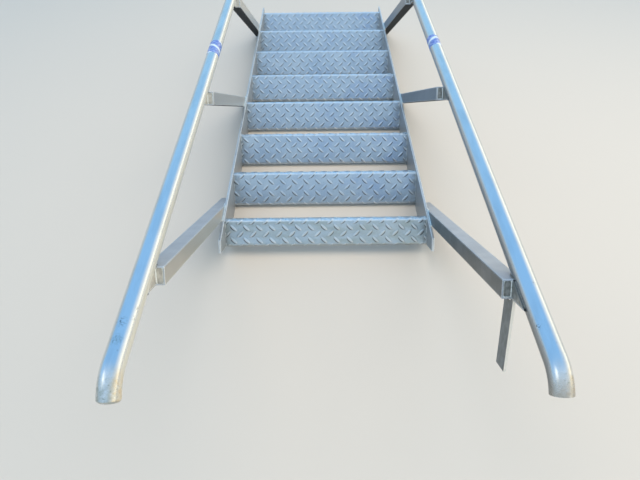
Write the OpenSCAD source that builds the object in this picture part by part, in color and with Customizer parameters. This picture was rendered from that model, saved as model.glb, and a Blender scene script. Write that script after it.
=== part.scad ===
// Stair flight with handrails, off a set of mobile boarding stairs.
// It lies on its back, as it is stored: the stringers' back edges are on the floor (z = 0).
// X runs across the flight, Y along the stringers with the foot at +Y, Z is up off the floor.
// In use it stands at its slope, with the end at -Y at the top, against a platform.

/* [Steps] */
// Vertical rise from tread to tread in use
rise = 237; // [180:1:260]
// Horizontal going from nosing to nosing in use
going = 129; // [110:1:200]
// Clear width between the stringers
clear_w = 670; // [500:1:900]
// Depth of a tread from nosing to rear edge
tread_d = 118; // [95:1:120]
// Depth of the top tread, which stops at the platform
top_tread_d = 90; // [60:1:95]
// Thickness of the chequered sheet
sheet_t = 4; // [2:0.5:5]
// Outer radius of the sheet's folds
fold_r = 7; // [6:0.5:12]
// Height of the flange turned down at the nosing
nosing_flange = 32; // [20:1:50]
// Height of the flange turned down at the rear edge
rear_flange = 20; // [12:1:24]

/* [Stringers] */
// Width of the stringer plate
stringer_w = 120; // [115:1:200]
// Thickness of the stringer plate
stringer_t = 8; // [5:0.5:15]
// How far the stringer's top edge stands over the nosings
edge_over = 3; // [0:0.5:20]
// Height in use of the stringer's top end above the top tread
head_up = 95; // [60:1:150]
// Drop in use from the bottom tread to the foot's level cut
foot_drop = 66; // [50:1:150]

/* [Stanchions] */
// Side of the square tube
post_w = 40; // [30:1:60]
// Wall of the square tube
post_wall = 3; // [2:0.5:5]
// Outer corner radius of the square tube
post_corner = 1.5; // [0.5:0.5:4]
// Place along the stringers of the first stanchion, from the top nosing
post_first = 20; // [0:1:60]
// Spacing of the stanchions along the stringers
post_pitch = 820; // [600:1:830]
// How far each left stanchion stands off its even place, from the top end down
left_shifts = [20, -22, 0]; // [-30:1:30]
// How far each right stanchion stands off its even place, from the top end down
right_shifts = [-20, -7, 6]; // [-30:1:30]
// How far the tube laps down the stringer from the nosing line
post_lap = 199; // [80:1:200]
// Where the left stanchions' heads are cut, past the height of the rail's axis, from the top end down
left_heads = [-50, -38, -27]; // [-60:1:30]
// Where the right stanchions' heads are cut, past the height of the rail's axis, from the top end down
right_heads = [-31, -27, -16]; // [-60:1:30]
// How far the outer half of a head runs up beside the rail, over the rail's axis
tongue_over = 3; // [2:0.5:20]
// Thickness of the folded plate that closes a head
closer_t = 3; // [2:0.5:4]
// How deep the closing plate sits in the open end
closer_inset = 2; // [0.5:0.5:5]

/* [Handrails] */
// Outer diameter of the rail tube
rail_od = 42.4; // [32:0.2:50]
// Wall of the rail tube
rail_wall = 3; // [2:0.5:5]
// Height of the rail's axis over the nosing line, square to the stringers
rail_h = 384; // [300:1:450]
// Distance from the left stringer's outer face to its rail's axis
left_out = 37.2; // [34:0.2:40]
// Distance from the right stringer's outer face to its rail's axis
right_out = 45.6; // [45:0.2:56]
// Where the rail starts to bend, before the top nosing
bend_at = 860; // [780:1:1000]
// Radius of the bend at the tube's axis
bend_r = 75; // [45:1:120]
// Angle of the bend, up to the cut end
bend_deg = 48; // [20:1:61]
// How far the rail runs past the lowest stanchion's head
foot_run = 118; // [60:1:400]
// Thickness of the disc in the rail's foot end
disc_t = 4; // [2:0.5:8]

/* [Tie bar] */
// Length of the flat bar under the top right head
bar_len = 168; // [80:1:300]
// Width of the flat bar
bar_w = 50; // [30:1:60]
// Thickness of the flat bar
bar_t = 6; // [4:0.5:12]
// How far its upper edge starts over the head's cut
bar_rise = 10; // [0:1:30]
// How much its free end drops
bar_drop = 30; // [0:1:60]

/* [Quality] */
// Facets on a full circle
$fn = 64; // [24:8:128]

/* [Hidden] */

LEFT = -1;
RIGHT = 1;
// Number of treads, one node each
TREADS = 8;
// Small distance by which a cutter passes a face
over = 1;
// Running gap of a coped joint
cope_gap = 0.2;

// Slope of the flight in use, and the nosings' pitch along the stringers
slope = atan2(rise, going);
pitch = sqrt(rise * rise + going * going);
// Height of the nosing line over the floor
nosing_h = stringer_w - edge_over;
// Place of the bottom nosing
last_v = (TREADS - 1) * pitch;
// Row of the lowest stanchions
last_row = len(left_heads) - 1;
// Place of a stanchion along its stringer
function post_at(side, row) = post_first + row * post_pitch + (side < 0 ? left_shifts : right_shifts)[row];

// Place along the stringers and height over the nosing line of a point that lies
// `back` towards the platform and `up` above a nosing in use.
function flight_point(back, up) = [-back * cos(slope) - up * sin(slope), -back * sin(slope) + up * cos(slope)];
// How far back towards the platform a level line at `up` meets the line `h` over the nosings
function back_at(h, up) = (up * cos(slope) - h) / sin(slope);
// How far up an upright line at `back` meets the line `h` over the nosings
function up_at(h, back) = (h + back * sin(slope)) / cos(slope);

// Corners of the stringer plate, as [place along the stringers, height over the nosing line]
head_front = flight_point(back_at(edge_over, head_up), head_up);
head_top = flight_point(top_tread_d, head_up);
head_back = flight_point(top_tread_d, up_at(-nosing_h, top_tread_d));
foot_back = [last_v, 0] + flight_point(back_at(-nosing_h, -foot_drop), -foot_drop);
foot_tip = [last_v, 0] + flight_point(back_at(edge_over, -foot_drop), -foot_drop);

// Height in use at which the rail's axis passes a stanchion
axis_up = up_at(rail_h, 0);
function head_at(side, row) = axis_up + (side < 0 ? left_heads : right_heads)[row];
// Distance of a rail's axis from its stringer's outer face
function out_at(side) = side < 0 ? left_out : right_out;

// The rail's foot end and the reach of its bent end
rail_foot = post_at(LEFT, last_row) + flight_point(0, head_at(LEFT, last_row))[0] + foot_run;
rail_reach = bend_at + (bend_r + rail_od / 2) * sin(bend_deg);
// Middle of the whole length, which is where the origin lies
mid_v = (foot_tip[0] - rail_reach) / 2;

// Puts a shape in the flight's own measure: X across, Y from the top nosing, Z over the nosing line
module in_flight() {
    translate([0, -mid_v, nosing_h]) children();
}

// Puts a shape upright as in use: Z is up, Y runs away from the platform, origin on the nosing line
module in_use(place) {
    in_flight() translate([0, place, 0]) rotate([slope, 0, 0]) children();
}

// Puts a shape on a stringer's outer face, with X pointing away from the flight
module on_side(side) {
    mirror([side < 0 ? 1 : 0, 0, 0]) translate([clear_w / 2 + stringer_t, 0, 0]) children();
}

// Extrudes an outline drawn in Y and Z along X
module across(width) {
    rotate([90, 0, 90]) linear_extrude(width) children();
}

// A quarter of a folded sheet, from the flat's end round to the flange
module fold_arc() {
    intersection() {
        difference() {
            circle(r = fold_r);
            circle(r = fold_r - sheet_t);
        }
        square(fold_r);
    }
}

// Section of a tread: flat top, with both long edges folded down
module tread_section(depth) {
    translate([-depth + fold_r, -sheet_t]) square([depth - 2 * fold_r, sheet_t]);
    translate([-fold_r, -fold_r]) fold_arc();
    translate([-sheet_t, -nosing_flange]) square([sheet_t, nosing_flange - fold_r]);
    translate([-depth + fold_r, -fold_r]) mirror([1, 0]) fold_arc();
    translate([-depth, -rear_flange]) square([sheet_t, rear_flange - fold_r]);
}

module tread(number) {
    color("lightsteelblue")
        in_use((number - 1) * pitch)
            translate([-clear_w / 2, 0, 0])
                across(clear_w) tread_section(number == 1 ? top_tread_d : tread_d);
}

module stringer(side) {
    color("silver")
        in_flight()
            mirror([side < 0 ? 1 : 0, 0, 0])
                translate([clear_w / 2, 0, 0])
                    across(stringer_t) polygon([head_front, head_top, head_back, foot_back, foot_tip]);
}

// A square with rounded corners, one corner's square corner at the origin
module rounded_square(side_w, corner) {
    translate([corner, 0]) square([side_w - 2 * corner, side_w]);
    translate([0, corner]) square([side_w, side_w - 2 * corner]);
    for (x = [corner, side_w - corner], y = [corner, side_w - corner])
        translate([x, y]) circle(r = corner);
}

// Section of the square tube
module post_section() {
    difference() {
        rounded_square(post_w, post_corner);
        translate([post_wall, post_wall]) square(post_w - 2 * post_wall);
    }
}

// Section of the rail tube
module rail_section() {
    difference() {
        circle(d = rail_od);
        circle(d = rail_od - 2 * rail_wall);
    }
}

module rail(side) {
    color("gainsboro")
        in_flight() on_side(side)
            translate([out_at(side), -bend_at, rail_h]) {
                rotate([-90, 0, 0]) linear_extrude(rail_foot + bend_at) rail_section();
                translate([0, 0, -bend_r])
                    rotate([90, 0, 90]) rotate([0, 0, 90])
                        rotate_extrude(angle = bend_deg) translate([bend_r, 0]) rail_section();
            }
}

// Disc welded into the foot end of a rail
module rail_disc(side) {
    color("gainsboro")
        in_flight() on_side(side)
            translate([out_at(side), rail_foot - disc_t, rail_h])
                rotate([-90, 0, 0]) cylinder(h = disc_t, r = rail_od / 2 - rail_wall);
}

// How far up the outer half of a head reaches
tongue_top = up_at(rail_h + tongue_over, post_w / 2);

// What is cut off a head, in use: its inner half square at its cut, its outer half along
// the rail, and the hollow in which the rail tube lies
module head_cut(side, row) {
    place = post_at(side, row);
    head = head_at(side, row);
    rail_len = rail_foot + bend_at;
    cope_r = rail_od / 2 + cope_gap;
    translate([-over, -post_w, head])
        cube([post_w / 2 + over, 2 * post_w, tongue_top]);
    translate([post_w / 2, 0, 0])
        across(post_w)
            polygon([[-post_w, up_at(rail_h + tongue_over, post_w)],
                     [post_w, up_at(rail_h + tongue_over, -post_w)],
                     [post_w, 2 * tongue_top], [-post_w, 2 * tongue_top]]);
    rotate([-slope, 0, 0])
        translate([out_at(side), -place - bend_at, rail_h]) {
            rotate([-90, 0, 0]) cylinder(h = rail_len, r = cope_r);
            translate([-cope_r, 0, 0]) cube([post_w, rail_len, 2 * cope_r]);
        }
}

// Square tube with its inner half cut off square, and its outer half run on beside the rail
module stanchion(side, row) {
    color("darkgray")
        in_use(post_at(side, row)) on_side(side)
            difference() {
                translate([0, -post_w / 2, -post_lap])
                    linear_extrude(post_lap + tongue_top) post_section();
                head_cut(side, row);
            }
}

// Folded plate that closes a stepped head: one leg in the open end, one along the outer half
module head_plate(side, row) {
    inner_w = post_w - 2 * post_wall;
    seat = head_at(side, row) - closer_inset - closer_t;
    color("darkgray")
        in_use(post_at(side, row)) on_side(side)
            difference() {
                union() {
                    translate([post_wall, -inner_w / 2, seat])
                        cube([post_w / 2 - post_wall, inner_w, closer_t]);
                    translate([post_w / 2, -inner_w / 2, seat])
                        cube([closer_t, inner_w, tongue_top - seat]);
                }
                head_cut(side, row);
            }
}

// Flat bar under the top right head, which tied it to the platform's rail
module tie_bar() {
    top = head_at(RIGHT, 0) + bar_rise;
    color("dimgray")
        in_use(post_at(RIGHT, 0)) on_side(RIGHT)
            translate([post_w / 2, 0, 0])
                across(bar_t)
                    polygon([[-post_w / 2, top], [-post_w / 2, top - bar_w],
                             [-post_w / 2 - bar_len, top - bar_w - bar_drop],
                             [-post_w / 2 - bar_len, top - bar_drop]]);
}

stringer(LEFT);  // stringer_left
stringer(RIGHT);  // stringer_right
tread(1);  // tread_1
tread(2);  // tread_2
tread(3);  // tread_3
tread(4);  // tread_4
tread(5);  // tread_5
tread(6);  // tread_6
tread(7);  // tread_7
tread(8);  // tread_8
stanchion(LEFT, 0);  // stanchion_left_1
stanchion(LEFT, 1);  // stanchion_left_2
stanchion(LEFT, 2);  // stanchion_left_3
stanchion(RIGHT, 0);  // stanchion_right_1
stanchion(RIGHT, 1);  // stanchion_right_2
stanchion(RIGHT, 2);  // stanchion_right_3
head_plate(LEFT, 0);  // head_plate_left_1
head_plate(LEFT, 1);  // head_plate_left_2
head_plate(LEFT, 2);  // head_plate_left_3
head_plate(RIGHT, 0);  // head_plate_right_1
head_plate(RIGHT, 1);  // head_plate_right_2
head_plate(RIGHT, 2);  // head_plate_right_3
rail(LEFT);  // rail_left
rail(RIGHT);  // rail_right
rail_disc(LEFT);  // rail_disc_left
rail_disc(RIGHT);  // rail_disc_right
tie_bar();
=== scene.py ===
"""Looks of a stair flight with handrails: raised lugs, weld beads, worn tape and weathered aluminium.

All lengths are in metres in the row frame: X across the flight, Y along the stringers with the foot at +Y,
Z up from the floor that the flight lies on. "In use" means as the stairs stand, at their slope.
"""
import logging
import random
from dataclasses import dataclass
from enum import Enum
from functools import reduce
from math import acos, atan2, copysign, cos, exp, hypot, pi, radians, sin, sqrt
from typing import Callable, Iterable, Sequence

import bpy
from mathutils import Matrix, Vector


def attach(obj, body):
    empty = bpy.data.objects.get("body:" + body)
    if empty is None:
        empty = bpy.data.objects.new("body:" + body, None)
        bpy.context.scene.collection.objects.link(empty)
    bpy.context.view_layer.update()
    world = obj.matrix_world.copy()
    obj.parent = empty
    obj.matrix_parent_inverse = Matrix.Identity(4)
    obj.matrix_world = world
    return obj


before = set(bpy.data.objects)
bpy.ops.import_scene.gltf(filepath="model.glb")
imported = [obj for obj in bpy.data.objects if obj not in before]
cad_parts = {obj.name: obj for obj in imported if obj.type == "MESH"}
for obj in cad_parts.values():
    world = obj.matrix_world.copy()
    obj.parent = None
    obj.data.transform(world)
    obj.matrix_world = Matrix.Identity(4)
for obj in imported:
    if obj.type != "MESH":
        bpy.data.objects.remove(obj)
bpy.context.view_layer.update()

Material = bpy.types.Material
Socket = bpy.types.NodeSocket
Tree = bpy.types.NodeTree
Value = Socket | float
Triple = tuple[float, float, float]
Four = tuple[float, float, float, float]
Face = tuple[int, ...]

log = logging.getLogger("flight")
MM = 0.001


class Side(Enum):
    """Side of the flight, as its sign along X."""

    LEFT = -1
    RIGHT = 1

    @property
    def word(self) -> str:
        """Name of the side as the nodes have it."""
        return self.name.lower()


class Lean(Enum):
    """Which way a lug leans across the sheet, as the sign of its slant."""

    FORWARD = 1
    BACKWARD = -1


def linear(code: str, strength: float = 1.0) -> Four:
    """Turns an sRGB hex colour into linear RGBA.

    Args:
        code: six hex digits.
        strength: factor on the linear colour, for light.

    Returns:
        The linear colour, with alpha 1.
    """
    channels = [int(code[i:i + 2], 16) / 255 for i in (0, 2, 4)]
    bright = [c / 12.92 if c <= 0.04045 else ((c + 0.055) / 1.055) ** 2.4 for c in channels]
    return bright[0] * strength, bright[1] * strength, bright[2] * strength, 1.0


def per_metre(size_mm: float) -> float:
    """Scale of a texture whose features are this many millimetres across."""
    return 1000 / size_mm


def add(tree: Tree, kind: str, values: dict) -> bpy.types.NodeOutputs:
    """Adds a node to a tree.

    Args:
        tree: the node tree.
        kind: the node's type name, after ShaderNode.
        values: settings by name, and inputs by name or number. A socket is linked, None is left out.

    Returns:
        The new node's outputs.
    """
    node = tree.nodes.new("ShaderNode" + kind)
    for key, value in values.items():
        if isinstance(value, Socket):
            tree.links.new(value, node.inputs[key])
        elif isinstance(key, str) and hasattr(node, key):
            setattr(node, key, value)
        elif value is not None:
            node.inputs[key].default_value = value
    return node.outputs


@dataclass(frozen=True)
class Flight:
    """Measures of the flight that the pieces are fitted to, the same as the solids have."""

    rise: float = 237 * MM
    going: float = 129 * MM
    nosing_z: float = 117 * MM
    first_y: float = -517.059 * MM
    half_clear: float = 335 * MM
    plate: float = 8 * MM
    rail_height: float = 384 * MM
    rail_radius: float = 21.2 * MM

    @property
    def slope(self) -> float:
        """Slope in use, in radians."""
        return atan2(self.rise, self.going)

    @property
    def pitch(self) -> float:
        """Distance from nosing to nosing."""
        return hypot(self.rise, self.going)

    @property
    def up(self) -> Vector:
        """Direction that is up in use."""
        return Vector((0, -sin(self.slope), cos(self.slope)))

    @property
    def forward(self) -> Vector:
        """Direction that is level in use and runs away from the platform."""
        return Vector((0, cos(self.slope), sin(self.slope)))

    def nosing(self, place: float) -> Vector:
        """Point on the nosing line, at a distance from the top nosing."""
        return Vector((0, self.first_y + place, self.nosing_z))

    def outward(self, side: Side) -> Vector:
        """Direction away from the flight on a side."""
        return Vector((side.value, 0, 0))


FLIGHT = Flight()


def turns(count: int) -> list[float]:
    """Angles that part a full turn evenly."""
    return [2 * pi * k / count for k in range(count)]


def spoke(angle: float) -> Vector:
    """Direction from the axis of a tube along Y, at an angle round it."""
    return Vector((cos(angle), 0, sin(angle)))


def skin(first: int, rows: int, around: int, closed: bool = True, turned: bool = False) -> list[Face]:
    """Joins rows of points by four-sided faces.

    Args:
        first: number of the first point.
        rows: how many rows there are.
        around: points in a row.
        closed: whether each row is a ring.
        turned: whether the faces look the other way.

    Returns:
        The faces.
    """
    faces = []
    for a in range(first, first + (rows - 1) * around, around):
        for k in range(around if closed else around - 1):
            b, n = a + around, (k + 1) % around
            faces.append((a + k, b + k, b + n, a + n) if turned else (a + k, a + n, b + n, b + k))
    return faces


def link(name: str, data: bpy.types.ID) -> bpy.types.Object:
    """Puts a new object in the scene.

    Args:
        name: its name.
        data: its mesh, lamp or camera.

    Returns:
        The object.
    """
    thing = bpy.data.objects.new(name, data)
    bpy.context.scene.collection.objects.link(thing)
    return thing


def make_piece(name: str, points: Sequence[Vector], faces: Iterable[Sequence[int]],
               material: Material) -> bpy.types.Object:
    """Makes a smooth mesh piece that rides on the flight.

    Args:
        name: piece name.
        points: points in the row frame.
        faces: point numbers of each face.
        material: its material.

    Returns:
        The new object.
    """
    mesh = bpy.data.meshes.new(name)
    mesh.from_pydata([tuple(p) for p in points], [], [tuple(f) for f in faces])
    mesh.materials.append(material)
    mesh.shade_smooth()
    piece = link(name, mesh)
    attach(piece, "root")
    log.info("%s: %d faces", name, len(mesh.polygons))
    return piece


def dress(start: str, material: Material, bevel: float = 0.0) -> None:
    """Gives nodes of the solid model a material, and breaks their sharp edges.

    Args:
        start: how the nodes' names start.
        material: the material.
        bevel: width of the broken edge, or 0 for none.
    """
    sharp = radians(40)
    for name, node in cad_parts.items():
        if not name.startswith(start):
            continue
        node.data.materials.clear()
        node.data.materials.append(material)
        if bevel:
            edge = node.modifiers.new("broken edge", "BEVEL")
            edge.width = bevel
            edge.segments = 2
            edge.limit_method = "ANGLE"
            edge.angle_limit = sharp
            edge.harden_normals = True
        log.info("%s: dressed with %s", name, material.name)


class Coats:
    """Coats of colour in a node tree, laid over one another by shares from 0 to 1."""

    def __init__(self, tree: Tree, ground: str, strength: float = 1.0) -> None:
        """Empties the tree and lays the ground colour.

        Args:
            tree: the node tree.
            ground: sRGB hex colour under the coats.
            strength: factor on its linear colour, for light.
        """
        tree.nodes.clear()
        self.tree = tree
        self.colour: Socket | Four = linear(ground, strength)

    def share(self, value: Socket, low: float, high: float, start: float = 0.0, end: float = 1.0) -> Socket:
        """Share that goes from start to end as a value goes from low to high, and is held at both."""
        return add(self.tree, "MapRange", dict(enumerate((value, low, high, start, end))))[0]

    def work(self, operation: str, values: Iterable[Value]) -> Value:
        """Works an operation through some values, each a socket or a number, from left to right."""
        return reduce(lambda a, b: add(self.tree, "Math", {"operation": operation, 0: a, 1: b})[0], values)

    def product(self, *values: Value) -> Value:
        """Product of some values."""
        return self.work("MULTIPLY", values)

    def total(self, *values: Value) -> Value:
        """Sum of some values."""
        return self.work("ADD", values)

    def most(self, *values: Value) -> Value:
        """The highest of some values."""
        return self.work("MAXIMUM", values)

    def rest(self, value: Value) -> Value:
        """What a share leaves of 1."""
        return self.work("SUBTRACT", (1.0, value))

    def coat(self, colour: str | Socket, *shares: Value, strength: float = 1.0) -> None:
        """Lays a coat over the colour so far.

        Args:
            colour: sRGB hex colour, or a socket that gives a linear one.
            shares: their product is how well the coat covers.
            strength: factor on the linear colour, for light.
        """
        over = colour if isinstance(colour, Socket) else linear(colour, strength)
        values = {"data_type": "RGBA", 0: self.product(*shares), 6: self.colour, 7: over}
        self.colour = add(self.tree, "Mix", values)[2]


class Shader(Coats):
    """A new material, with its coats, its relief and its shares by place, facing and edge."""

    def __init__(self, name: str, ground: str) -> None:
        """Starts the material from its ground colour.

        Args:
            name: material name.
            ground: sRGB hex colour under the coats.
        """
        self.material = bpy.data.materials.new(name)
        self.material.use_nodes = True
        super().__init__(self.material.node_tree, ground)
        self.place = add(self.tree, "TexCoord", {})["Object"]
        self.normal: Socket | None = None

    def grain(self, size_mm: float | Triple, detail: float = 3.0, rough: float = 0.55, shift: float = 0.0,
              turn: float = 0.0) -> Socket:
        """Cloudy noise whose clouds have a real size.

        Args:
            size_mm: size of a cloud, or its sizes along the axes, in millimetres.
            detail: layers of finer clouds.
            rough: weight of the finer clouds.
            shift: how far the pattern is moved, in metres.
            turn: turn about X in radians, to follow the stanchions.

        Returns:
            The noise value, from 0 to 1.
        """
        sizes = size_mm if isinstance(size_mm, tuple) else (size_mm,) * 3
        turned = {"Vector": self.place, "Rotation": (turn, 0, 0), "Location": (shift,) * 3}
        scaled = {"Vector": add(self.tree, "Mapping", turned)[0], "Scale": tuple(map(per_metre, sizes))}
        noise = {"Vector": add(self.tree, "Mapping", scaled)[0], "Scale": 1,
                 "Detail": detail, "Roughness": rough}
        return add(self.tree, "TexNoise", noise)[0]

    def cloud(self, size_mm: float | Triple, low: float, high: float, start: float = 0.0, end: float = 1.0,
              detail: float = 3.0, rough: float = 0.55, shift: float = 0.0) -> Socket:
        """Share that goes from start to end as grain of this size goes from low to high."""
        return self.share(self.grain(size_mm, detail, rough, shift), low, high, start, end)

    def along(self, axis: str, *span: float) -> Socket:
        """Share by the place along an axis of the row, in metres, with the span as in share."""
        return self.share(add(self.tree, "SeparateXYZ", {0: self.place})[axis], *span)

    def facing(self, way: Vector | Triple, *span: float) -> Socket:
        """Share by the cosine of the angle to a way of the row frame, with the span as in share."""
        values = {"operation": "DOT_PRODUCT", 0: add(self.tree, "TexCoord", {})["Normal"], 1: tuple(way)}
        return self.share(add(self.tree, "VectorMath", values)["Value"], *span)

    def edges(self, reach_mm: float) -> Socket:
        """Softens the piece's sharp edges.

        Args:
            reach_mm: how far from an edge it is soft.

        Returns:
            Share that is 1 on the edges and fades out.
        """
        self.normal = add(self.tree, "Bevel", {"samples": 6, "Radius": reach_mm * MM})[0]
        hard = add(self.tree, "NewGeometry", {})["True Normal"]
        lean = add(self.tree, "VectorMath", {"operation": "DOT_PRODUCT", 0: self.normal, 1: hard})
        return self.share(lean["Value"], 0.985, 0.86)

    def near(self, places: Iterable[Four]) -> Value:
        """Finds what lies close to some places.

        Args:
            places: each place's point, and the radius of its spot in millimetres.

        Returns:
            Share that is 1 in the spots and fades out at their rims.
        """
        spots = []
        for *centre, radius in places:
            far = add(self.tree, "VectorMath", {"operation": "DISTANCE", 0: self.place, 1: centre})
            spots.append(self.share(far["Value"], radius * MM, 0.3 * radius * MM))
        return self.most(*spots)

    def tread_axes(self) -> list[Socket]:
        """Place on the nearest tread, as in use.

        Returns:
            Distance ahead of its nosing and height over it, in metres.
        """
        behind = 0.6 * FLIGHT.pitch
        _, y, z = add(self.tree, "SeparateXYZ", {0: self.place})
        passed = self.total(y, behind + FLIGHT.pitch - FLIGHT.first_y)
        step = add(self.tree, "Math", {"operation": "MODULO", 0: passed, 1: FLIGHT.pitch})[0]
        axes = {1: self.total(step, -behind), 2: self.total(z, -FLIGHT.nosing_z)}
        spot = add(self.tree, "CombineXYZ", axes)[0]
        return [add(self.tree, "VectorMath", {"operation": "DOT_PRODUCT", 0: spot, 1: tuple(way)})["Value"]
                for way in (FLIGHT.forward, FLIGHT.up)]

    def relief(self, *layers: tuple[Socket, float]) -> None:
        """Lays bumps over one another.

        Args:
            layers: height, from 0 to 1, and depth in millimetres of each.
        """
        for height, depth_mm in layers:
            values = {"Strength": 1.0, "Distance": depth_mm * MM, "Height": height, "Normal": self.normal}
            self.normal = add(self.tree, "Bump", values)[0]

    def finish(self, rough: Value, metallic: Value) -> Material:
        """Joins everything to the main shader.

        Args:
            rough: roughness.
            metallic: 1 for bare metal, less under a thin oxide, 0 for paint and plastic.

        Returns:
            The material.
        """
        main = {"Base Color": self.colour, "Metallic": metallic, "Roughness": rough, "Normal": self.normal}
        add(self.tree, "OutputMaterial", {"Surface": add(self.tree, "BsdfPrincipled", main)[0]})
        return self.material


@dataclass(frozen=True)
class ChequeredSheetFinish:
    """Rolled chequered aluminium sheet that has stood outdoors for years.

    The eye sees a bluish grey sheet with soft clouds of oxide, dull between the lugs, and brownish stains in
    the corners by the stringers.
    The lug tops and the nosing are lighter, partly worn and partly a painted highlight, and the rear flanks
    of the lugs carry a painted shade.
    """

    pale: str = "C6D0D8"
    blue: str = "B2C1CF"
    deep: str = "A3B6D0"
    # Dark specks on the sheet, and also the painted shade on the lugs' rear flanks.
    specks_and_shade: str = "37434F"
    corner: str = "8E8B84"
    stain: str = "A6ADA8"
    # Lighter tone of the lug tops and the nosing, partly worn metal and partly painted highlight.
    worn: str = "F0F3F5"
    cloud_mm: float = 55
    spot_mm: float = 8
    corner_width: float = 26 * MM

    def material(self) -> Material:
        """Builds the material.

        Returns:
            The material.
        """
        sheet = Shader("chequered aluminium sheet, weathered", self.blue)
        sheet.coat(self.pale, sheet.cloud(self.cloud_mm, 0.32, 0.7, detail=4))
        top = sheet.along("Y", FLIGHT.first_y + 30 * MM, FLIGHT.first_y + 40 * MM, 1, 0)
        sheet.coat(self.deep, sheet.cloud((150, 80, 80), 0.47, 0.62, 0, 0.8, 4, 0.6, 5),
                   sheet.along("X", -0.1, 0.2, 0.3, 1), sheet.rest(top))
        sheet.coat(self.pale, sheet.cloud(6, 0.46, 0.66, 0, 0.5, 4, 0.6, 4))
        sheet.coat(self.stain, top, sheet.cloud((70, 30, 30), 0.36, 0.62, 0.2, 0.75, 4, 0.6, 2))
        sheet.coat(self.specks_and_shade, sheet.cloud(self.spot_mm, 0.58, 0.74, 0, 0.26, 5, 0.65))
        outer = FLIGHT.half_clear
        inner = outer - self.corner_width
        sheet.coat(self.corner, sheet.most(sheet.along("X", inner, outer), sheet.along("X", -inner, -outer)),
                   sheet.cloud(12, 0.35, 0.65, 0.1, 0.8, 4, 0.65))
        ahead, up = sheet.tread_axes()
        # The nosing fold and the lug tops are lighter: partly worn metal, partly painted highlight.
        nosing = sheet.product(sheet.share(ahead, -9 * MM, -4 * MM), sheet.share(up, -30 * MM, -20 * MM),
                               sheet.cloud(9, 0.3, 0.6, 0.6, 1))
        rub_and_highlight, flank_shade = (add(sheet.tree, "Attribute", {"attribute_name": name})["Fac"]
                     for name in ("rub_and_highlight", "flank_shade"))
        # Painted shade on the lugs' rear flanks and skirts.
        sheet.coat(self.specks_and_shade, flank_shade, 0.8)
        bright = sheet.most(sheet.product(rub_and_highlight, 0.75), nosing)
        sheet.coat(self.worn, bright)
        sheet.relief((sheet.grain(1.6), 0.05), (sheet.grain(35, 2), 0.3))
        rough = sheet.cloud(14, 0.3, 0.7, 0.34, 0.48, 4, 0.6)
        return sheet.finish(sheet.total(rough, sheet.product(bright, -0.1)), 1.0)


@dataclass(frozen=True)
class RolledPlateFinish:
    """Rolled aluminium plate, weathered, with its rolling marks along the stringer.

    The eye sees a matt grey plate with faint streaks along it and darker weather stains. Its edges are
    lighter, partly worn and partly a painted highlight.
    Its side faces carry a painted shade, most of all those that look left. Its chalky
    oxide scatters light, so it is only partly metallic.
    """

    pale: str = "D6D7D4"
    dull: str = "BFC1C1"
    stain: str = "98968E"
    side_shade: str = "9A9FA3"
    worn: str = "EEF2F5"
    streak_mm: Triple = (6, 160, 2.2)

    def material(self) -> Material:
        """Builds the material.

        Returns:
            The material.
        """
        plate = Shader("rolled aluminium plate, weathered", self.dull)
        plate.coat(self.pale, plate.cloud(60, 0.35, 0.7, detail=4))
        plate.coat(self.stain, plate.cloud((30, 90, 14), 0.55, 0.75, 0, 0.5, 5, 0.65))
        # Painted shade on the side faces, stronger on those that look left.
        for side, share in ((Side.LEFT, 0.8), (Side.RIGHT, 0.65)):
            plate.coat(self.side_shade, plate.facing(FLIGHT.outward(side), 0.5, 0.9, 0, share))
        # Painted highlight on the edges, over their worn metal.
        plate.coat(self.worn, plate.edges(4.5))
        streaks = plate.grain(self.streak_mm)
        plate.relief((streaks, 0.05))
        return plate.finish(plate.share(streaks, 0.3, 0.7, 0.42, 0.54), 0.65)


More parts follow.
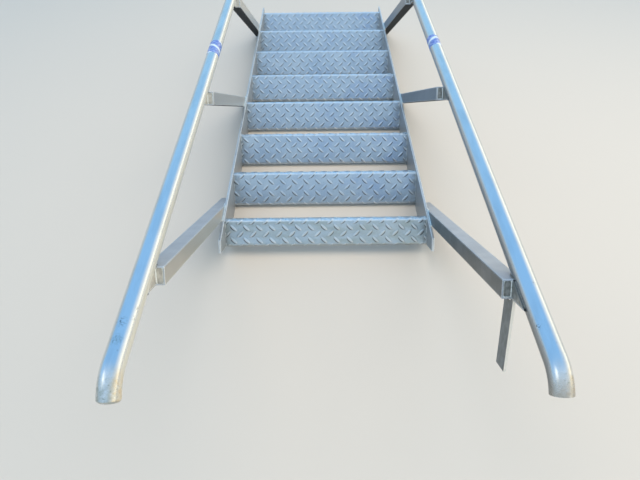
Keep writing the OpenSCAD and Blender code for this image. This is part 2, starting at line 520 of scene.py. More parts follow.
@dataclass(frozen=True)
class SquareTubeFinish:
    """Extruded square aluminium tube, as drawn.

    The eye sees a smooth satin grey with faint lines along each tube and a thin veil of oxide. Its crisp
    ridges are lighter, partly worn and partly a painted highlight.
    The sides that look right carry a painted warm light, paler on the far tubes, and the far tubes are
    painted darker.
    Undersides, the right tubes' sides that look inwards and their faces that look up carry a painted shade.
    The oxide scatters some of the light.
    """

    pale: str = "C4CAD3"
    dull: str = "B3BAC4"
    warm: str = "C4BFB3"
    pale_warm: str = "DED7CB"
    # Colours of painted shade: the far tubes, the right tubes' inward sides, and the undersides.
    far: str = "868C92"
    film: str = "5C6162"
    under: str = "202324"
    worn: str = "FAFAF8"
    line_mm: Triple = (1.6, 1.6, 240)

    def material(self) -> Material:
        """Builds the material.

        Returns:
            The material.
        """
        tube = Shader("extruded aluminium tube, satin", self.dull)
        tube.coat(self.pale, tube.cloud(70, 0.35, 0.7))
        # Painted shade: the tubes further along Y are darker.
        far = tube.along("Y", -0.6, 0.0)
        tube.coat(self.far, far, 0.7)
        # Painted warm light on the sides that look right, paler on the far tubes.
        warm = {"data_type": "RGBA", 0: far, 6: linear(self.warm), 7: linear(self.pale_warm)}
        tube.coat(add(tube.tree, "Mix", warm)[2], tube.facing((1, 0, 0), 0.5, 0.9, 0, 0.85))
        # The film coat is a painted shade on the right tubes' sides that look inwards.
        right = tube.product(tube.along("X", 0.30, 0.31), tube.along("Y", -0.6, -0.2, 0.95, 0.3))
        tube.coat(self.film, right, tube.facing((-1, 0, 0), 0.5, 0.9),
                  tube.cloud(50, 0.3, 0.6, 0.85, 1, shift=4))
        # The under coat is a painted shade on the undersides and on the right tubes' faces that look up.
        cut = tube.product(tube.facing((0, 0, 1), 0.93, 0.98), right)
        under = tube.most(cut, tube.facing(-FLIGHT.forward, 0.4, 0.8, 0, 0.9))
        tube.coat(self.under, under)
        # Painted highlight on the ridges over worn metal, held back on the right tubes' ends and upward
        # faces.
        shaded_end = tube.product(tube.facing(FLIGHT.up, 0.8, 0.95), tube.along("X", 0.30, 0.31, 0, 0.75))
        tube.coat(self.worn, tube.edges(5), tube.rest(tube.most(shaded_end, cut)))
        lines = tube.grain(self.line_mm, 2, turn=-FLIGHT.slope)
        tube.relief((lines, 0.008))
        rough = tube.total(tube.share(lines, 0.3, 0.7, 0.36, 0.44), tube.product(under, 0.5))
        return tube.finish(rough, 0.8)


@dataclass(frozen=True)
class FlatBarFinish:
    """Flat aluminium bar with sawn edges.

    The eye sees a dull, blotched broad face and bright, cream edges.
    """

    film: str = "767C7E"
    blotch: str = "54595B"
    sawn: str = "EEE8DE"

    def material(self) -> Material:
        """Builds the material.

        Returns:
            The material.
        """
        bar = Shader("flat aluminium bar, sawn", self.film)
        bar.coat(self.blotch, bar.cloud((20, 14, 22), 0.42, 0.66, 0, 0.6, 4, 0.6))
        bar.coat(self.sawn, bar.facing((1, 0, 0), 0.8, 0.4), bar.facing((-1, 0, 0), 0.8, 0.4))
        bar.relief((bar.grain((1.5, 1.5, 60), 2), 0.02))
        return bar.finish(bar.cloud((4, 4, 60), 0.3, 0.7, 0.4, 0.5), 0.55)


@dataclass(frozen=True)
class FoldedPlateFinish:
    """Folded aluminium plate that closes a stanchion's head, with a painted shade on the faces that look up.

    The eye sees a dull flat end with small dark spots and a lighter rim, partly worn and partly a painted
    highlight. The left and right plates are a lit and a shaded copy of it.
    """

    name: str
    pale: str
    dirt_and_shade: str
    rub_and_highlight: float
    rubbed: str = "EDEBE4"

    def material(self) -> Material:
        """Builds the material.

        Returns:
            The material.
        """
        plate = Shader(f"folded aluminium plate, {self.name}", self.pale)
        plate.coat(self.dirt_and_shade, plate.cloud(9, 0.38, 0.66, 0, 0.8, 4, 0.6))
        # Painted highlight on the rim, over worn metal; the rubbed colour is this highlight.
        plate.coat(self.rubbed, plate.edges(2.5), self.rub_and_highlight)
        # Painted shade on the faces that look up, strongest on the shaded copy.
        plate.coat(self.dirt_and_shade, plate.facing((0, 0, 1), 0.6, 0.9), 1 - self.rub_and_highlight)
        plate.relief((plate.grain(3), 0.06))
        return plate.finish(plate.cloud(5, 0.3, 0.7, 0.42, 0.55), 0.7)


@dataclass(frozen=True)
class RailTubeFinish:
    """Round aluminium tube, rubbed by hands along its length and knocked at its bent end.

    The eye sees a bright tube with fine lines along it, a few patches of small dark specks, and a dull,
    mottled end, tan on its right. The left rail's flank that looks right carries a pale, matt painted
    reflection. The right one's flank that looks left carries a painted shade, and its tip is scuffed matt.
    """

    bright: str = "E2E4E5"
    veil: str = "CED2D5"
    speck: str = "4C4B44"
    tan: str = "C8B594"
    worn_tip: str = "A19A8E"
    dull_end: str = "A9AEA6"
    mould: str = "6E7A66"
    flank_reflection: str = "C9C6B9"
    # Colour of the painted shade on the right rail's flank that looks left.
    film: str = "4E504D"
    line_mm: Triple = (1.2, 300, 1.2)
    bend_y: float = -1377 * MM
    marks: tuple[Four, ...] = (
        (-0.3625, -1.2615, 0.5126, 9), (-0.3626, -1.2877, 0.5128, 10), (-0.3817, -1.300, 0.5221, 14),
        (0.3933, -1.2131, 0.5217, 8), (0.3725, -1.3167, 0.5148, 9))
    moss: tuple[Four, ...] = ((-0.3809, -1.3403, 0.5222, 15),)

    def material(self) -> Material:
        """Builds the material.

        Returns:
            The material.
        """
        tube = Shader("round aluminium tube, hand rubbed", self.bright)
        tube.coat(self.veil, tube.cloud((22, 120, 22), 0.45, 0.75, 0, 0.8, 4))
        specks = tube.product(tube.cloud(3.0, 0.69, 0.74, detail=1.5),
                              tube.cloud(60, 0.58, 0.68, 0, 0.7, 2, shift=3))
        patches = tube.product(tube.near(self.marks), tube.cloud(2.8, 0.54, 0.62, detail=2, shift=7))
        tube.coat(self.speck, tube.most(specks, patches), 0.7)
        tube.coat(self.mould, tube.near(self.moss), tube.cloud(3, 0.45, 0.6, 0, 0.55, shift=9))
        tip = tube.along("Y", self.bend_y - 30 * MM, self.bend_y - 55 * MM)
        left, right = tube.along("X", 0.01, 0.0), tube.along("X", 0.0, 0.01)
        dull = tube.product(tip, tube.cloud(9, 0.35, 0.6, 0.15, 0.8, 4, 0.65),
                            tube.along("X", 0.01, 0.0, 0.5, 1))
        tube.coat(self.dull_end, dull)
        tube.coat(self.mould, tip, tube.cloud(4, 0.58, 0.7, 0, 0.8, 3, 0.6, 8))
        # The film coat is a painted shade on the right rail's flank that looks left.
        film = tube.product(tube.along("Y", -1.2, -0.7, 0.85, 0.6), right, tube.facing((-1, 0, 0), 0.8, 1))
        tube.coat(self.film, film)
        # Painted reflection, pale and matt, on the left rail's flank that looks right.
        flank_reflection = tube.product(left, tube.facing((1, 0, -0.1), 0.66, 0.92))
        tube.coat(self.flank_reflection, flank_reflection)
        tube.coat(self.tan, tube.along("Y", self.bend_y - 12 * MM, self.bend_y - 45 * MM),
                  tube.facing((1, 0, 0.25), 0.35, 0.85), tube.cloud(12, 0.35, 0.6, 0.15, 0.9, 3, 0.6, 1))
        worn = tube.product(right, tube.along("Y", self.bend_y - 35 * MM, self.bend_y - 67 * MM),
                            tube.cloud(8, 0.3, 0.6, 0.65, 0.95, shift=11))
        tube.coat(self.worn_tip, worn)
        scatter = tube.most(tube.product(flank_reflection, 0.8), tube.product(film, 0.7), tube.product(worn, 0.8))
        tube.relief((tube.grain(self.line_mm, 2), 0.012), (tube.grain((28, 70, 28), 2), 0.08))
        rough = tube.total(tube.cloud((9, 60, 9), 0.3, 0.7, 0.19, 0.26), tube.product(dull, 0.18))
        return tube.finish(rough, tube.rest(scatter))


@dataclass(frozen=True)
class WeldBeadFinish:
    """Aluminium weld metal, left as laid.

    The eye sees glinting ripples with soot between them. Fresh beads are bright and old ones are dull.
    Those under the rails are painted dark as shade, and scatter the light.
    """

    bright: str = "F1F1EC"
    soot: str = "A6A49E"
    name: str = "aluminium weld bead"
    metallic: float = 1.0

    def material(self) -> Material:
        """Builds the material.

        Returns:
            The material.
        """
        bead = Shader(self.name, self.bright)
        bead.coat(self.soot, bead.cloud(5, 0.5, 0.7, 0, 0.6))
        bead.relief((bead.grain(1.5, 2), 0.08))
        return bead.finish(0.28, self.metallic)


@dataclass(frozen=True)
class MarkingTapeFinish:
    """Clear blue film, wound slantwise round the rail, creased and worn.

    The eye sees slanting blue bands between nearly white ones, partly worn film and partly a painted
    highlight on the creases.
    """

    start_y: float
    slant: float
    blue: str = "4E62B0"
    pale: str = "8AA6D8"
    rubbed: str = "CFE0EC"
    band_mm: float = 58
    band_start: float = 42 * MM
    sway: float = 14 * MM
    wander: float = 6 * MM

    def material(self) -> Material:
        """Builds the material.

        Returns:
            The material.
        """
        film = Shader("creased blue film", self.blue)
        along = add(film.tree, "SeparateXYZ", {0: film.place})["Y"]
        sway = self.sway * self.slant
        place = film.total(along, -self.start_y - self.band_start, film.facing((1, 0, 0), -1, 1, -sway, sway),
                           film.cloud(24, 0.2, 0.8, -self.wander, self.wander, rough=0.6))
        angle = film.product(place, 2 * pi * per_metre(self.band_mm))
        wave = add(film.tree, "Math", {"operation": "SINE", 0: angle})[0]
        film.coat(self.pale, film.cloud(9, 0.42, 0.62, 0, 0.85, 4, 0.6))
        # Nearly white bands: partly worn film, partly painted highlight; the rubbed colour is this mix.
        film.coat(self.rubbed, film.share(wave, 0.5, 0.95, 0, 0.9))
        film.relief((film.grain((14, 5, 14)), 0.5))
        return film.finish(film.cloud(6, 0.3, 0.7, 0.12, 0.3), 0.0)


@dataclass(frozen=True)
class FloorFinish:
    """Pale matt floor paint. The eye sees an even, soft background."""

    pale: str = "D0C8BC"

    def material(self) -> Material:
        """Builds the material."""
        return Shader("pale floor paint", self.pale).finish(0.85, 0.0)


class Bead:
    """Collects weld beads into one mesh."""

    RIPPLE = 4.6 * MM
    STEP = 1.15 * MM
    ACROSS = 6
    SWAY_STEPS = 8
    END_SIZE = 0.45
    SUNK = 0.2 * MM
    BLOB_AROUND = 12
    BLOB_RINGS = ((1.0, -0.1), (0.92, 0.25), (0.7, 0.48), (0.36, 0.6))
    BLOB_TIP = 0.64

    def __init__(self, seed: int) -> None:
        """Starts an empty set of beads.

        Args:
            seed: number that fixes their small unevenness.
        """
        self.points: list[Vector] = []
        self.faces: list[Face] = []
        self.chance = random.Random(seed)

    def lay(self, path: Callable[[float], Vector], length: float, along_first: Callable[[float], Vector],
            along_second: Callable[[float], Vector], leg: float) -> None:
        """Lays one bead into a corner.

        Args:
            path: corner point at a share of the way, from 0 to 1.
            length: length of the way.
            along_first: direction along the first face, off the corner, at a share of the way.
            along_second: the same on the second face.
            leg: width of the bead on each face.
        """
        steps = max(4, round(length / self.STEP))
        phase = self.chance.random()
        first, width = len(self.points), self.ACROSS + 1
        sway = [self.chance.uniform(0.88, 1.12) for _ in range(steps // self.SWAY_STEPS + 3)]
        for i in range(steps + 1):
            share = i / steps
            ripple = (share * length / self.RIPPLE + phase) % 1
            knot = i / self.SWAY_STEPS
            low = int(knot)
            size = sway[low] + (sway[low + 1] - sway[low]) * (knot - low)
            size *= 0.86 + 0.2 * sqrt(1 - (2 * ripple - 1) ** 2)
            if i in (0, steps):
                size *= self.END_SIZE
            corner, a, b = path(share), along_first(share), along_second(share)
            for j in range(width):
                angle = j / self.ACROSS * pi / 2
                crown = 0.80 + 0.16 * sin(2 * angle)
                p = corner + (a * cos(angle) + b * sin(angle)) * (leg * size * crown)
                if j in (0, self.ACROSS):
                    p -= (b if j == 0 else a) * self.SUNK
                self.points.append(p)
        self.faces.extend(skin(first, steps + 1, width, closed=False, turned=True))
        for row, turn in ((0, 1), (steps, -1)):
            ring = [first + row * width + j for j in range(width)][::turn]
            self.points.append(path(row / steps))
            self.faces.extend((ring[j], ring[j + 1], len(self.points) - 1) for j in range(self.ACROSS))

    def line(self, start: Vector, end: Vector, along_first: Vector, along_second: Vector, leg: float) -> None:
        """Lays a straight bead from start to end, between two faces given by their directions."""
        self.lay(lambda t: start.lerp(end, t), (end - start).length,
                 lambda t: along_first, lambda t: along_second, leg)

    def blob(self, centre: Vector, normal: Vector, radius: float) -> None:
        """Drops a round blob of weld metal.

        Args:
            centre: middle of its foot.
            normal: direction along which it is flattened.
            radius: its radius.
        """
        side = normal.orthogonal().normalized()
        other = normal.cross(side)
        first, around, rings = len(self.points), self.BLOB_AROUND, len(self.BLOB_RINGS)
        for share, lift in self.BLOB_RINGS:
            for angle in turns(around):
                reach = radius * share * self.chance.uniform(0.93, 1.05)
                self.points.append(centre + side * (reach * cos(angle))
                                   + other * (reach * sin(angle)) + normal * (lift * radius))
        self.points.append(centre + normal * (self.BLOB_TIP * radius))
        self.faces.extend(skin(first, rings, around))
        a, tip = first + (rings - 1) * around, len(self.points) - 1
        self.faces.extend((a + k, a + (k + 1) % around, tip) for k in range(around))

    def piece(self, name: str, material: Material) -> None:
        """Makes the beads one piece."""
        make_piece(name, self.points, self.faces, material)


@dataclass
class Tread:
    """One folded tread of chequered sheet, with its lugs and its welds."""

    number: int
    first_row: float
    first_place: float
    depth: float = 118 * MM
    nosing_flange: float = 32 * MM
    rear_flange: float = 20 * MM
    fold: float = 7 * MM
    lug_length: float = 32 * MM
    lug_width: float = 8.6 * MM
    lug_height: float = 1.6 * MM
    lug_pitch: float = 43 * MM
    rows: int = 16
    columns: int = 17
    corners: int = 18
    margin: float = 4 * MM
    # How light the lug tops are: partly worn metal, partly painted highlight.
    wear_and_highlight: float = 1.0
    # Size, lift, share of worn metal and painted highlight, and share of painted shade of a lug's rings, from
    # its foot to its top
    rings: tuple[Four, ...] = ((1.0, -0.2, 0.0, 0.25), (1.0, 0.0, 0.0, 1.0), (0.9, 0.45, 0.35, 0.95),
                                (0.7, 0.86, 0.9, 0.15), (0.38, 1.0, 1.0, 0.0))

    @property
    def stretches(self) -> list[float]:
        """Lengths of the unfolded sheet's stretches: flange, fold, flat, fold, flange."""
        arc, flat = self.fold * pi / 2, self.depth - 2 * self.fold
        return [self.nosing_flange - self.fold, arc, flat, arc, self.rear_flange - self.fold]

    def section(self, along: float) -> Four:
        """Place and normal on the outer side of the folded sheet.

        Args:
            along: distance on the unfolded sheet from the lower edge of the nosing flange.

        Returns:
            Ahead and up of the point and of the normal, as in use.
        """
        ahead, up, turn = 0.0, -self.nosing_flange, 0.0
        for number, length in enumerate(self.stretches):
            part = min(along, length)
            c, s = cos(turn), sin(turn)
            if number % 2:
                turn += part / self.fold
                ahead, up = ahead + self.fold * (cos(turn) - c), up + self.fold * (sin(turn) - s)
            else:
                ahead, up = ahead - s * part, up + c * part
            along -= part
        return ahead, up, cos(turn), sin(turn)

    def point(self, across: float, along: float, lift: float) -> Vector:
        """Point on the folded sheet.

        Args:
            across: place across the sheet.
            along: distance on the unfolded sheet from the lower edge of the nosing flange.
            lift: how far it is lifted off the sheet.

        Returns:
            The point.
        """
        ahead, up, out, over = self.section(along)
        return (FLIGHT.nosing((self.number - 1) * FLIGHT.pitch) + Vector((across, 0, 0))
                + FLIGHT.forward * (ahead + out * lift) + FLIGHT.up * (up + over * lift))

    def normal(self, along: float) -> Vector:
        """Outward normal of the folded sheet."""
        _, _, ahead, up = self.section(along)
        return FLIGHT.forward * ahead + FLIGHT.up * up

    def lugs(self, material: Material) -> None:
        """Makes the raised lugs, in rows that lean by turns one way and the other, also round the folds.

        Args:
            material: the sheet's material.
        """
        chance = random.Random(40 + self.number)
        total = sum(self.stretches)
        start = sum(self.stretches[:2]) - self.fold + self.first_row - 2 * self.lug_pitch
        sink: tuple[list, ...] = ([], [], [], [])
        for row in range(self.rows):
            lean = Lean.BACKWARD if row % 2 else Lean.FORWARD
            along = start + row * self.lug_pitch / 2
            if not -self.margin < along < total + self.margin:
                continue
            for column in range(-1, self.columns):
                across = self.first_place - FLIGHT.half_clear + (column + 0.5 * (row % 2)) * self.lug_pitch
                if abs(across) < FLIGHT.half_clear + self.margin:
                    # Lugs that lean backward, and the two nearest treads, get a weaker painted highlight.
                    wear_and_highlight = chance.uniform(0.6, 1.0) * (0.75 if lean is Lean.BACKWARD else 1.0) * self.wear_and_highlight
                    self.lug(across, along, lean, wear_and_highlight, sink)
        points, faces, rub_and_highlight, flank_shade = sink
        piece = make_piece(f"lugs_{self.number}", points, faces, material)
        for name, values in (("rub_and_highlight", rub_and_highlight), ("flank_shade", flank_shade)):
            piece.data.attributes.new(name, "FLOAT", "POINT").data.foreach_set("value", values)

    def lug(self, across: float, along: float, lean: Lean, wear_and_highlight: float, sink: tuple[list, ...]) -> None:
        """Adds one lug, a pointed oval with a skirt under its rear flank that carries a painted shade.

        Args:
            across: place of its middle across the sheet.
            along: place of its middle along the unfolded sheet.
            lean: which way it leans.
            wear_and_highlight: how far its top is lighter, partly worn and partly a painted highlight.
            sink: lists that take its points, faces, shares of worn metal and painted highlight, and shares of
                painted shade.
        """
        points, faces, rub_and_highlight, flank_shade = sink
        edge = 0.3 * MM
        total, limit = sum(self.stretches), FLIGHT.half_clear - 2 * edge
        first = len(points)
        for number, (share, lift, rubbed, shaded) in enumerate(self.rings):
            for angle in turns(self.corners):
                u = copysign(abs(cos(angle)) ** 0.9, cos(angle)) * self.lug_length / 2
                v = copysign(abs(sin(angle)) ** 1.2, sin(angle)) * self.lug_width / 2
                # The rear side carries a skirt that takes the painted shade.
                rear = max(0.0, min(1.0, 2.5 * v / self.lug_width))
                skirt = 0.62 * rear if number == 0 else 0.0
                u, v = u * (0.5 + share / 2), v * (share + skirt)
                x = across + (u - v * lean.value) / sqrt(2)
                y = along + (u * lean.value + v) / sqrt(2)
                held = max(-limit, min(limit, x)), max(edge, min(total - edge, y))
                height = lift + (0.22 * rear if number == 0 else 0.0)
                points.append(self.point(*held, height * self.lug_height))
                rub_and_highlight.append(rubbed * wear_and_highlight)
                flank_shade.append(shaded * rear)
        faces.extend(face[::-1] for face in skin(first, len(self.rings), self.corners))
        faces.append(tuple(range(len(points) - 1, len(points) - 1 - self.corners, -1)))

    def welds(self, material: Material) -> None:
        """Lays short, thin beads along each end of the sheet's outer side, against the stringers.

        Args:
            material: the beads' material.
        """
        bead = Bead(60 + self.number)
        total = sum(self.stretches)
        for side in Side:
            edge, inward = side.value * FLIGHT.half_clear, -FLIGHT.outward(side)
            at = bead.chance.uniform(2, 8) * MM
            while at < total - 8 * MM:
                length = min(bead.chance.uniform(14, 30) * MM, total - 1 * MM - at)
                bead.lay(lambda t: self.point(edge, at + t * length, 0), length,
                         lambda t: inward, lambda t: self.normal(at + t * length), 3 * MM)
                at += length + bead.chance.uniform(6, 20) * MM
        bead.piece(f"tread_welds_{self.number}", material)


@dataclass
class Stanchion:
    """One square tube that carries a handrail, with the welds of its foot and its stepped head."""

    side: Side
    row: int
    place: float
    past_axis: float
    rail_out: float
    width: float = 40 * MM
    wall: float = 3 * MM
    lap: float = 199 * MM
    inset: float = 2 * MM
    edge_over: float = 3 * MM

    @property
    def head(self) -> float:
        """Height in use of the square cut of the head."""
        return FLIGHT.rail_height / cos(FLIGHT.slope) + self.past_axis

    def at(self, out: float, ahead: float, height: float) -> Vector:
        """Point given as in use, from the middle of the tube's inner face on the nosing line."""
        face = FLIGHT.outward(self.side) * (FLIGHT.half_clear + FLIGHT.plate + out)
        return FLIGHT.nosing(self.place) + face + FLIGHT.forward * ahead + FLIGHT.up * height

    def height_over(self, line: float, ahead: float) -> float:
        """Height in use at which a line square over the nosing line is met, at a distance ahead."""
        return (line - ahead * sin(FLIGHT.slope)) / cos(FLIGHT.slope)

    def foot_welds(self, bead: Bead) -> None:
        """Lays the beads between the tube and the stringer's outer face and top edge.

        Args:
            bead: set that takes them.
        """
        out, low, half, leg = FLIGHT.outward(self.side), -self.lap, self.width / 2, 4.5 * MM
        for sign in (-1, 1):
            ahead = sign * half
            bead.line(self.at(0, ahead, low + 1 * MM), self.at(0, ahead, self.height_over(2 * MM, ahead)),
                      out, FLIGHT.forward * sign, 5 * MM)
        bead.line(self.at(0, -half, low), self.at(0, half, low), out, -FLIGHT.up, leg)
        start, end = (self.at(0, ahead, self.height_over(self.edge_over, ahead)) for ahead in (-half, half))
        bead.line(start, end, -out, Vector((0, 0, 1)), leg)

    def head_welds(self, bead: Bead) -> None:
        """Lays the beads round the folded plate in the head, those across it with a blob at each end.

        Args:
            bead: set that takes them.
        """
        out, up = FLIGHT.outward(self.side), FLIGHT.up
        middle, floor = self.width / 2, self.head - self.inset
        inner = middle - self.wall
        thin = 0.72 if self.side is Side.RIGHT else 1.0
        for x, way, leg in ((self.wall, out, 3.2 * thin), (middle, -out, 3.6 * thin)):
            bead.line(self.at(x, -inner, floor), self.at(x, inner, floor), way, up, leg * MM)
            for ahead in (-inner + 1 * MM, inner - 1 * MM):
                bead.blob(self.at(x, ahead, floor) + way * (1 * MM), up, 3.2 * thin * MM)
        if self.side is Side.RIGHT:
            start, end = self.at(self.wall, -inner, floor), self.at(middle, -inner, floor)
            bead.line(start, end, FLIGHT.forward, up, 2.4 * MM)

    def saddle_welds(self, bead: Bead) -> None:
        """Lays the beads where the side walls, the outer wall and the folded plate meet the rail.

        Args:
            bead: set that takes them.
        """
        out, half, leg = FLIGHT.outward(self.side), self.width / 2, 3.6 * MM
        radius = FLIGHT.rail_radius
        start = -acos(max(-1.0, (half - self.rail_out) / radius))
        end = -acos((self.width - self.rail_out) / radius)

        def meeting(angle: float, ahead: float) -> Vector:
            """Point where the head meets the rail, at an angle round the rail."""
            over = self.height_over(FLIGHT.rail_height + radius * sin(angle), ahead)
            return self.at(self.rail_out + radius * cos(angle), ahead, over)

        def off_rail(angle: float) -> Vector:
            """Direction along a side wall, away from the rail."""
            way = out * cos(angle) + FLIGHT.up * (sin(angle) * cos(FLIGHT.slope))
            return way.normalized()

        for sign in (-1, 1):
            bead.lay(lambda t: meeting(start + t * (end - start), sign * half), (end - start) * 2 * radius,
                     lambda t: off_rail(start + t * (end - start)), lambda t: Vector((0, sign, 0)), 3.4 * MM)
        round_rail = out * -sin(end) + Vector((0, 0, cos(end)))
        bead.line(meeting(end, -half), meeting(end, half), Vector((0, 0, -1)), round_rail, leg)
        if self.side is Side.RIGHT:
            inner, limb = half - self.wall, self.rail_out - radius + 0.6 * MM
            over = FLIGHT.rail_height + 2 * MM
            ends = [self.at(limb, ahead, self.height_over(over, ahead)) for ahead in (-inner, inner)]
            bead.line(*ends, -out, Vector((0, 0, 1)), leg)

    def build(self, bright: Material, shaded_beads: Material) -> None:
        """Makes the stanchion's welds.

        Args:
            bright: material of the welds in the open.
            shaded_beads: material of those under the rail, painted dark as shade.
        """
        bead, saddle = (Bead(seed + 10 * self.row + self.side.value) for seed in (100, 200))
        self.foot_welds(bead)
        self.head_welds(bead)
        bead.piece(f"stanchion_welds_{self.side.word}_{self.row}", bright)
        self.saddle_welds(saddle)
        saddle.piece(f"saddle_welds_{self.side.word}_{self.row}", shaded_beads)


@dataclass
class Handrail:
    """One handrail, with its marking tape, the weld round its foot end and the lip of its bent end."""

    side: Side
    out: float
    tape_start: float
    tape_length: float
    slant: float
    height: float = FLIGHT.nosing_z + FLIGHT.rail_height
    radius: float = FLIGHT.rail_radius
    bore: float = 18.2 * MM
    foot_y: float = 579.17 * MM
    bend_y: float = FLIGHT.first_y - 860 * MM
    bend_radius: float = 75 * MM
    bend: float = radians(48)
    tape_around: int = 84
    tape_along: int = 60
    tape_slant: float = 4 * MM
    tape_least: float = 0.06 * MM
    tape_proud: float = 0.5 * MM
    creases: int = 7
    lip_around: int = 64
    lip_steps: int = 12
    lip_inset: float = 1.7 * MM
    lip_reach: float = 1.6 * MM
    lip_proud: float = 5 * MM

    def axis_point(self, y: float) -> Vector:
        """Point on the straight tube's axis."""
        return Vector((self.side.value * self.out, y, self.height))

    def tape(self) -> None:
        """Winds the film round the tube, creased and lifted here and there, and flat on the outer side."""
        chance = random.Random(7 + self.side.value)
        along = self.tape_along
        creases = [(chance.uniform(0.08, 0.92), chance.uniform(-0.25, 0.25), chance.uniform(0, 6.28))
                   for _ in range(self.creases)]
        points = []
        for i in range(along + 1):
            share = i / along
            for angle in turns(self.tape_around):
                crease = sum(exp(-((share - s - lean * sin(angle)) / 0.025) ** 2)
                             * (0.55 + 0.45 * sin(2 * angle + p)) for s, lean, p in creases)
                inward = 0.5 - 0.5 * cos(angle) * self.side.value
                free = min(1.0, max(0.0, 2.2 * inward - 0.25))
                lift = self.tape_least + self.tape_proud * free * (0.2 + 0.8 * min(1.0, crease))
                if i in (0, along):
                    lift = -0.05 * MM
                y = self.tape_start + share * self.tape_length + self.slant * self.tape_slant * cos(angle)
                points.append(self.axis_point(y) + spoke(angle) * (self.radius + lift))
        material = MarkingTapeFinish(self.tape_start, self.slant).material()
        faces = skin(0, along + 1, self.tape_around, turned=True)
        make_piece(f"tape_{self.side.word}", points, faces, material)

    def end_weld(self, material: Material) -> None:
        """Lays the bead round the disc in the tube's foot end.

        Args:
            material: the bead's material.
        """
        bead = Bead(30 + self.side.value)
        centre = self.axis_point(self.foot_y)
        bead.lay(lambda t: centre + spoke(2 * pi * t) * self.bore, 2 * pi * self.bore,
                 lambda t: spoke(2 * pi * t), lambda t: Vector((0, 1, 0)), 2.2 * MM)
        bead.piece(f"rail_end_weld_{self.side.word}", material)

    def lip(self, material: Material) -> None:
        """Rounds the bent end's cut edge with a worn lip, pulled in on the bend's outer side.

        Args:
            material: the tube's material.
        """
        c, s = cos(self.bend), sin(self.bend)
        end = self.axis_point(self.bend_y) - Vector((0, s, 1 - c)) * self.bend_radius
        way, over, across = Vector((0, -c, -s)), Vector((0, -s, c)), Vector((1, 0, 0))
        points = []
        for i in range(self.lip_steps + 1):
            turn = pi * i / self.lip_steps
            proud = self.lip_proud * sin(turn)
            for angle in turns(self.lip_around):
                pull = proud * (0.35 + 0.6 * max(0.0, cos(angle)))
                radius = self.radius - self.lip_inset + self.lip_reach * cos(turn) - pull
                out = over * cos(angle) + across * sin(angle)
                points.append(end + way * (proud - 0.1 * MM) + out * radius)
        faces = skin(0, self.lip_steps + 1, self.lip_around)
        make_piece(f"rail_lip_{self.side.word}", points, faces, material)


@dataclass
class TieBar:
    """The flat bar under the top right head, with its two welds."""

    thickness: float = 6 * MM
    width: float = 50 * MM
    rise: float = 10 * MM

    def build(self, head: Stanchion, material: Material) -> None:
        """Lays a bead on both sides of the bar's end, against the tube.

        Args:
            head: stanchion that carries the bar.
            material: the beads' material.
        """
        bead = Bead(21)
        half, foot, top = head.width / 2, head.head + self.rise - self.width, head.head + self.rise
        for out, sign, end in ((half, -1, head.head - 1 * MM), (half + self.thickness, 1, top)):
            bead.line(head.at(out, -half, foot), head.at(out, -half, end),
                      FLIGHT.outward(head.side) * sign, -FLIGHT.forward, 4 * MM)
        bead.piece("tie_bar_welds", material)


@dataclass(frozen=True)
class Dome:
    """Pale studio dome: blue overhead, paler low ahead and behind the camera, white and warm on the right.

    A bright white disc hangs high on the left.
    """

    ahead: str = "93CBFF"
    low: str = "ACDEFF"
    behind: str = "CDE7FF"
    skirt: str = "C1D6E0"
    white: str = "F5FDFF"
    warm: str = "FFFBE9"
    disc: Triple = (-0.72, -0.12, 0.68)

    def build(self, tree: Tree) -> None:
        """Lights the world with the dome.

        Args:
            tree: the world's node tree.
        """
        sky = Coats(tree, self.behind, 1.08)
        way = add(tree, "TexCoord", {})["Generated"]
        dx, dy, dz = add(tree, "SeparateXYZ", {0: way})
        roll = add(tree, "Math", {"operation": "ARCTAN2", 0: dx, 1: dz})[0]
        near = add(tree, "VectorMath", {"operation": "DOT_PRODUCT", 0: way, 1: self.disc})
        for colour, strength, value, low, high in (
                (self.ahead, 1.05, dy, -0.2, 0.4), (self.low, 1.08, dy, 0.72, 1.0),
                (self.skirt, 1.0, dz, 0.3, 0.02), (self.white, 1.08, roll, 0.5, 1.12),
                (self.warm, 1.7, roll, 1.02, 1.40), (self.white, 1.9, near["Value"], 0.968, 0.992)):
            sky.coat(colour, sky.share(value, low, high), strength=strength)
        light = add(tree, "Background", {"Color": sky.colour, "Strength": 1.0})
        add(tree, "OutputWorld", {0: light[0]})


@dataclass(frozen=True)
class Lamp:
    """One soft panel of light, which the camera and glossy surfaces don't see. Its power is in watts."""

    name: str
    place: Triple
    aim: Triple
    size: tuple[float, float]
    power: float
    colour: str

    def hang(self) -> None:
        """Hangs the lamp and aims it."""
        data = bpy.data.lights.new(self.name, "AREA")
        data.shape = "RECTANGLE"
        data.size, data.size_y = self.size
        data.energy = self.power
        data.color = linear(self.colour)[:3]
        lamp = link(self.name, data)
        lamp.location = self.place
        lamp.rotation_mode = "QUATERNION"
        lamp.rotation_quaternion = (Vector(self.aim) - Vector(self.place)).to_track_quat("-Z", "Y")
        lamp.visible_camera = False
        lamp.visible_glossy = False


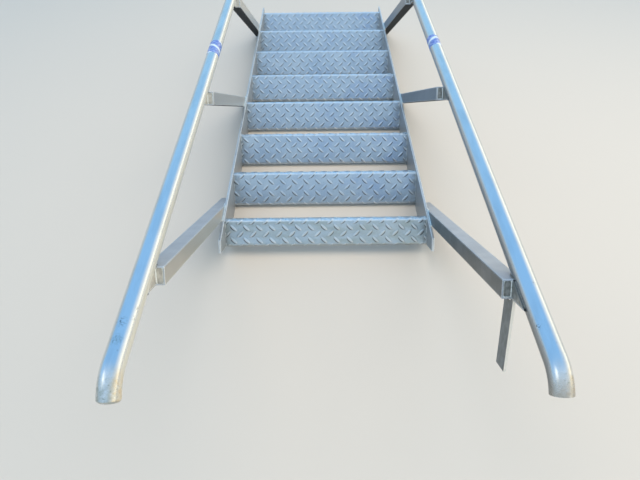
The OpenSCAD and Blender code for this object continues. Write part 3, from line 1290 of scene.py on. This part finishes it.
@dataclass(frozen=True)
class Studio:
    """Camera at the photo's angle, soft lamps, pale dome and floor."""

    eye: Triple = (-0.01727, -1.984865, 1.31808)
    right: Triple = (0.99994, -0.00575, -0.00892)
    up: Triple = (0.01049, 0.66107, 0.75025)
    lens: float = 32.186
    sensor: float = 36
    floor_reach: float = 30
    lamps: tuple[Lamp, ...] = (
        Lamp("overhead fill", (0.5, -0.3, 3.8), (0.1, 0.0, 0.1), (4.0, 4.4), 105, "FFE6C6"),
        Lamp("right softbox", (3.8, -0.6, 2.0), (0.2, -0.2, 0.2), (2.4, 4.0), 40, "FFF0DC"))

    def camera(self) -> None:
        """Places the camera where the photo was taken."""
        right, up = Vector(self.right).normalized(), Vector(self.up)
        back = right.cross(up).normalized()
        up = back.cross(right)
        data = bpy.data.cameras.new("camera")
        data.sensor_width = self.sensor
        data.lens = self.lens
        camera = link("camera", data)
        turn = Matrix((right, up, back)).transposed().to_4x4()
        camera.matrix_world = Matrix.Translation(self.eye) @ turn
        bpy.context.scene.camera = camera

    def surroundings(self) -> None:
        """Sets the world's light and lays the floor."""
        world = bpy.data.worlds.new("studio")
        bpy.context.scene.world = world
        world.use_nodes = True
        Dome().build(world.node_tree)
        mesh = bpy.data.meshes.new("floor")
        reach = self.floor_reach
        corners = [(-reach, -reach, 0), (reach, -reach, 0), (reach, reach, 0), (-reach, reach, 0)]
        mesh.from_pydata(corners, [], [(0, 1, 2, 3)])
        mesh.materials.append(FloorFinish().material())
        floor = link("floor", mesh)
        floor.location.z = -0.5 * MM

    def build(self) -> None:
        """Sets up the whole studio."""
        self.camera()
        for lamp in self.lamps:
            lamp.hang()
        self.surroundings()
        bpy.context.scene.view_settings.view_transform = "Standard"


def save_boxes() -> None:
    """Updates the view layer."""
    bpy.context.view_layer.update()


def main() -> None:
    """Dresses the solids and builds every other piece, in order."""
    logging.basicConfig(level=logging.INFO, format="%(name)s: %(message)s")
    sheet, tube = ChequeredSheetFinish().material(), RailTubeFinish().material()
    bead = WeldBeadFinish().material()
    dull = WeldBeadFinish("C4C8C8", "8A8C88", "aluminium weld bead, weathered").material()
    # Beads under the rails: painted shade.
    shaded_beads = WeldBeadFinish("6A6C68", "40423F", "aluminium weld bead, sooted", 0.3).material()
    # The left plate is a lit copy and the right plate a shaded copy: painted light and painted shade.
    left_plate = FoldedPlateFinish("left", "DBD5CA", "B4AEA2", 0.7)
    right_plate = FoldedPlateFinish("right, soiled", "9C9D99", "60625F", 0.1)
    dress("tread", sheet)
    dress("stringer", RolledPlateFinish().material(), 0.9 * MM)
    dress("stanchion", SquareTubeFinish().material(), 0.4 * MM)
    dress("head_plate_left", left_plate.material(), 0.3 * MM)
    dress("head_plate_right", right_plate.material(), 0.3 * MM)
    dress("tie_bar", FlatBarFinish().material(), 0.6 * MM)
    dress("rail", tube, 0.8 * MM)

    # For each tread, in millimetres: first row of lugs behind the nosing, first lug from the left end
    rows = ((27, 27), (32, 8), (20, 20), (32, 5.5), (31, 2), (0.5, 18), (28, 29), (35, 24))
    treads = [Tread(number, row * MM, place * MM) for number, (row, place) in enumerate(rows, 1)]
    treads[0].depth, treads[0].lug_width = 90 * MM, 10.4 * MM
    # The two nearest treads get a weaker painted highlight on their lug tops.
    treads[0].wear_and_highlight = treads[1].wear_and_highlight = 0.65
    for tread in treads:
        tread.lugs(sheet)
        tread.welds(dull)

    rails = (Handrail(Side.LEFT, 380.2 * MM, -116 * MM, 101 * MM, 1.0),
             Handrail(Side.RIGHT, 388.6 * MM, -70 * MM, 82 * MM, -1.0))
    # For each stanchion, in millimetres: place along the flight, and its head past the rail's axis
    feet = (((40, -50), (818, -38), (1660, -27)), ((0, -31), (833, -27), (1666, -16)))
    face = FLIGHT.half_clear + FLIGHT.plate
    stanchions = [Stanchion(rail.side, row, place * MM, past * MM, rail.out - face)
                  for rail, places in zip(rails, feet) for row, (place, past) in enumerate(places, 1)]
    for stanchion in stanchions:
        stanchion.build(bead, shaded_beads)
    for rail in rails:
        rail.tape()
        rail.end_weld(bead)
    rails[0].lip(tube)
    TieBar().build(stanchions[3], bead)
    Studio().build()
    save_boxes()


if __name__ == "__main__":
    main()
